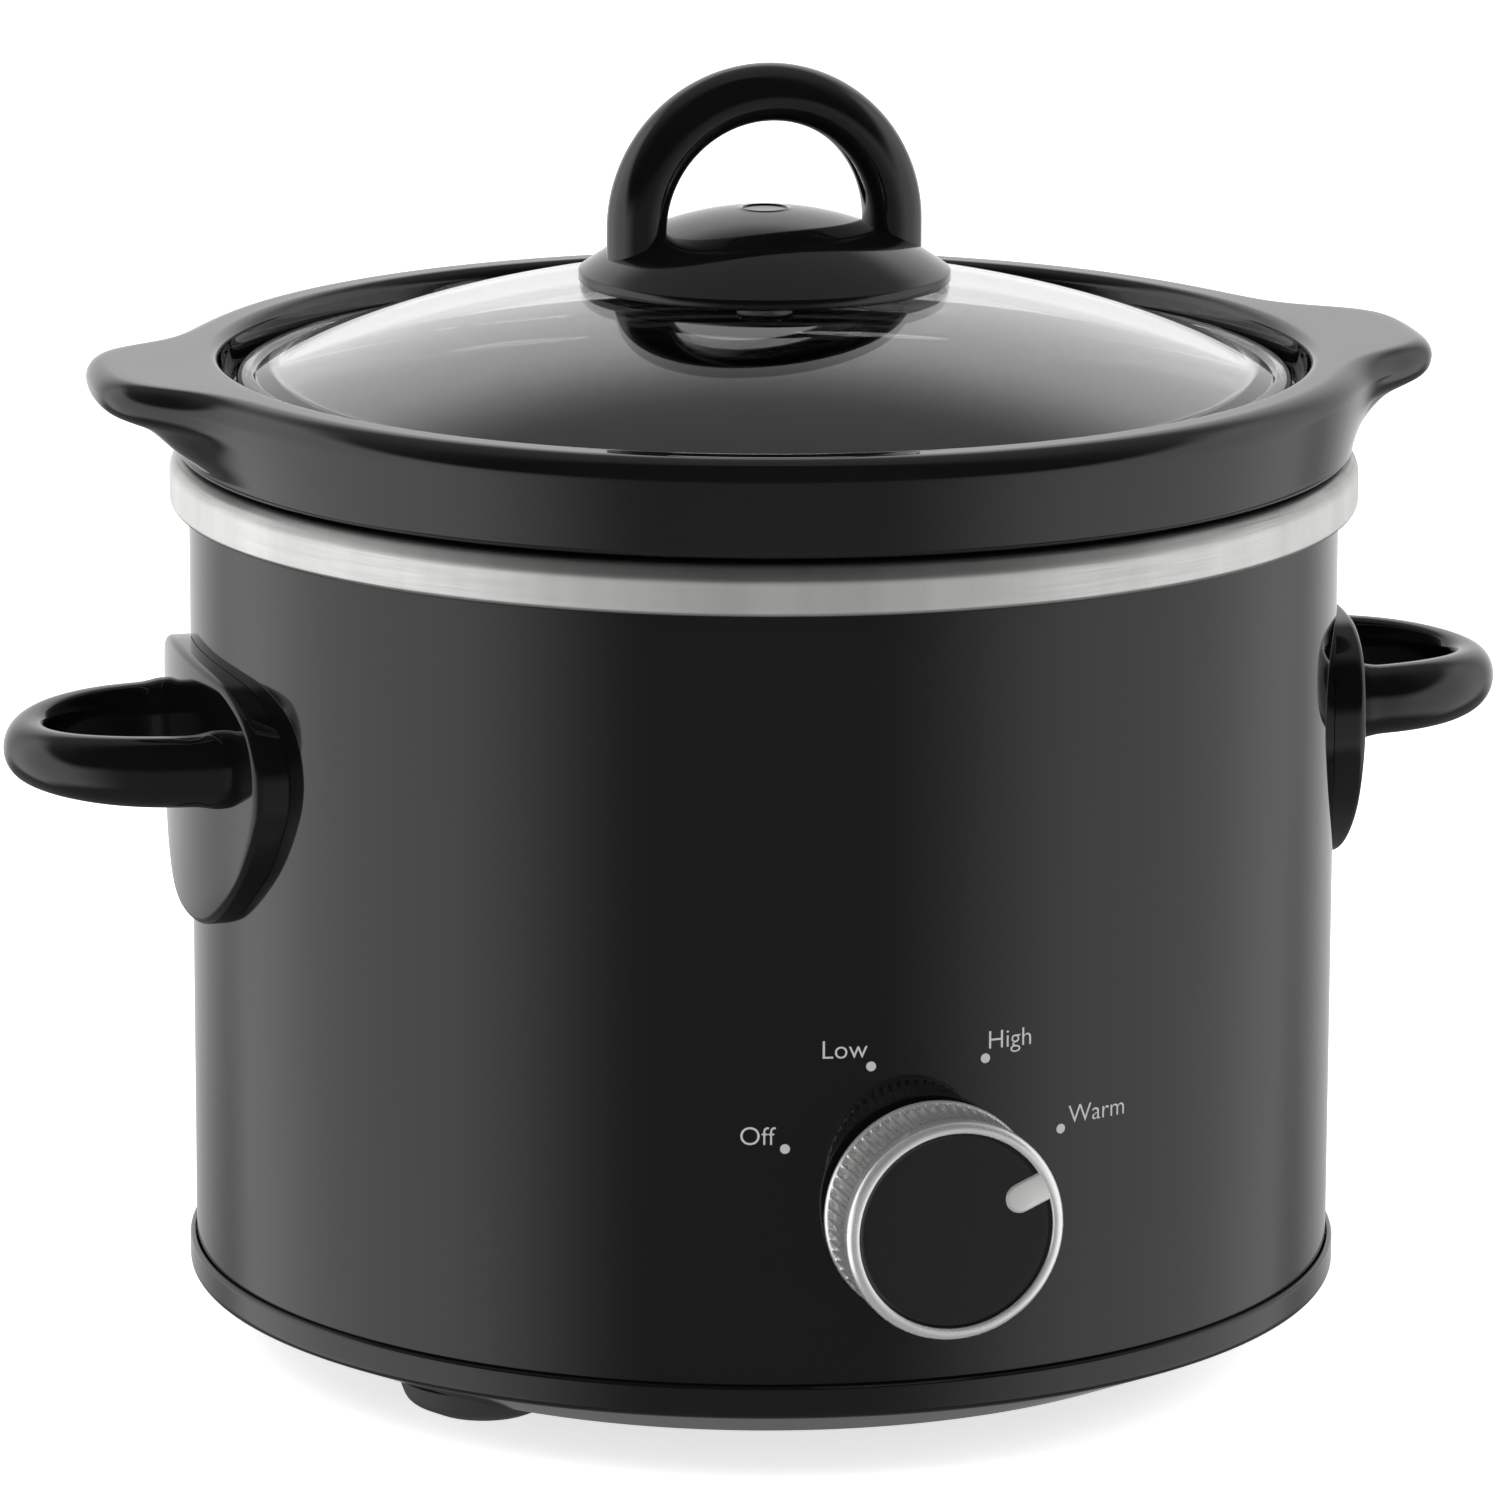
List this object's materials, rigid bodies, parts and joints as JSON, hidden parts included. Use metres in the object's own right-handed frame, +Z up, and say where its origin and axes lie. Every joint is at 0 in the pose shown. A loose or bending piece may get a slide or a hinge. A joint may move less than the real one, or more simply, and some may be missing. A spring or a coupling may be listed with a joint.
{
  "type": "slow cooker",
  "caption": "Round countertop slow cooker: black steel body with rotary knob and side handles, lift-out glazed stoneware pot, domed glass lid with arched handle.",
  "frame": {"origin": "on the pot's vertical axis, at the surface that the feet stand on", "axes": "+Z up along the pot's axis; -Y towards the front, where the knob is; X through the side handles and the pot's lugs"},
  "size_m": [0.2588, 0.22, 0.2173],
  "materials": {
    "black_enamel": "glossy black enamel on sheet steel",
    "brushed_steel": "brushed stainless steel, satin",
    "liner_metal": "aluminised sheet steel, dull",
    "black_plastic": "satin black heat-resistant plastic",
    "gloss_black_plastic": "glossy black phenolic plastic",
    "zinc_steel": "zinc-plated steel",
    "switch_plastic": "cream thermoset plastic",
    "brass": "tinned brass",
    "cap_plastic": "nylon",
    "lead_black": "silicone insulation, black",
    "lead_red": "silicone insulation, red",
    "lead_white": "silicone insulation, white",
    "knob_silver": "silver metallic finish on moulded plastic",
    "black_glaze": "glossy black glaze on stoneware",
    "clear_glass": "clear tempered glass",
    "black_rubber": "matt black rubber"
  },
  "bodies": {
    "base": {"outer_wrap": "black_enamel", "rim_band": "brushed_steel", "inner_liner": "liner_metal", "base_pan": "black_plastic", "foot_front_left": "black_rubber", "foot_front_right": "black_rubber", "foot_rear_left": "black_rubber", "foot_rear_right": "black_rubber", "liner_stud": "zinc_steel", "heat_shield": "liner_metal", "base_nut": "zinc_steel", "right_handle": "gloss_black_plastic", "left_handle": "gloss_black_plastic", "right_handle_screws": "zinc_steel", "left_handle_screws": "zinc_steel", "rotary_switch": "switch_plastic", "switch_nut": "zinc_steel", "switch_terminals": "brass", "heater_band": "liner_metal", "heater_terminals": "brass", "band_springs": "zinc_steel", "thermal_fuse": "zinc_steel", "fuse_clip": "zinc_steel", "cord_gland": "black_plastic", "crimp_caps": "cap_plastic", "live_lead": "lead_black", "high_lead": "lead_red", "low_lead": "lead_red", "neutral_lead": "lead_white", "fuse_lead": "lead_white"},
    "knob": {"knob_ring": "knob_silver", "knob_disc": "gloss_black_plastic", "knob_hub": "black_plastic", "switch_shaft": "zinc_steel"},
    "pot": {"stoneware_pot": "black_glaze"},
    "lid": {"glass_lid": "clear_glass", "lid_handle": "gloss_black_plastic", "lid_gasket": "black_rubber", "lid_seat": "black_plastic", "lid_screw": "zinc_steel"}
  },
  "joints": [
    {"name": "knob_turn", "type": "hinge", "parent": "base", "child": "knob", "pos_m": [0, -0.096, 0.0475], "axis": [0, -1, 0], "range_deg": [0, 132]},
    {"name": "pot_lift", "type": "slide", "parent": "base", "child": "pot", "axis": [0, 0, 1], "range_m": [0, 0.105]},
    {"name": "lid_lift", "type": "slide", "parent": "pot", "child": "lid", "axis": [0, 0, 1], "range_m": [0, 0.08]}
  ]
}
